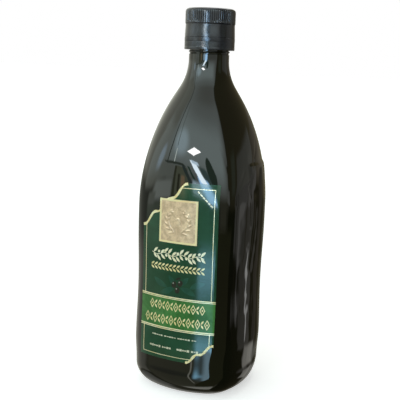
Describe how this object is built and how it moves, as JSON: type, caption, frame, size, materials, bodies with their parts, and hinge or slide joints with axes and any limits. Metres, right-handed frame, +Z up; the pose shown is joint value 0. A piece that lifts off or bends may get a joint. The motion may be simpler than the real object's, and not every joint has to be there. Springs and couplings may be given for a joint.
{
  "type": "olive oil bottle",
  "caption": "Tall dark green bottle of olive oil with a bowed square body, round shoulders, a ribbed screw cap and a torn-corner label.",
  "frame": {"origin": "middle of the base, on the surface that the bottle stands on", "axes": "+Z up along the bottle; the label faces -Y; +X to the right as the label is seen"},
  "size_m": [0.0818, 0.083, 0.2612],
  "materials": {
    "bottle_wall": "glossy dark green, faintly rippled",
    "cap_plastic": "charcoal, satin gloss",
    "label_print": "dark green coated paper, soft gloss",
    "foil": "pale gold embossed foil"
  },
  "bodies": {
    "root": {"bottle": "bottle_wall", "cap": "cap_plastic", "tamper_band": "cap_plastic", "label": "label_print", "foil_seal": "foil"}
  },
  "joints": []
}
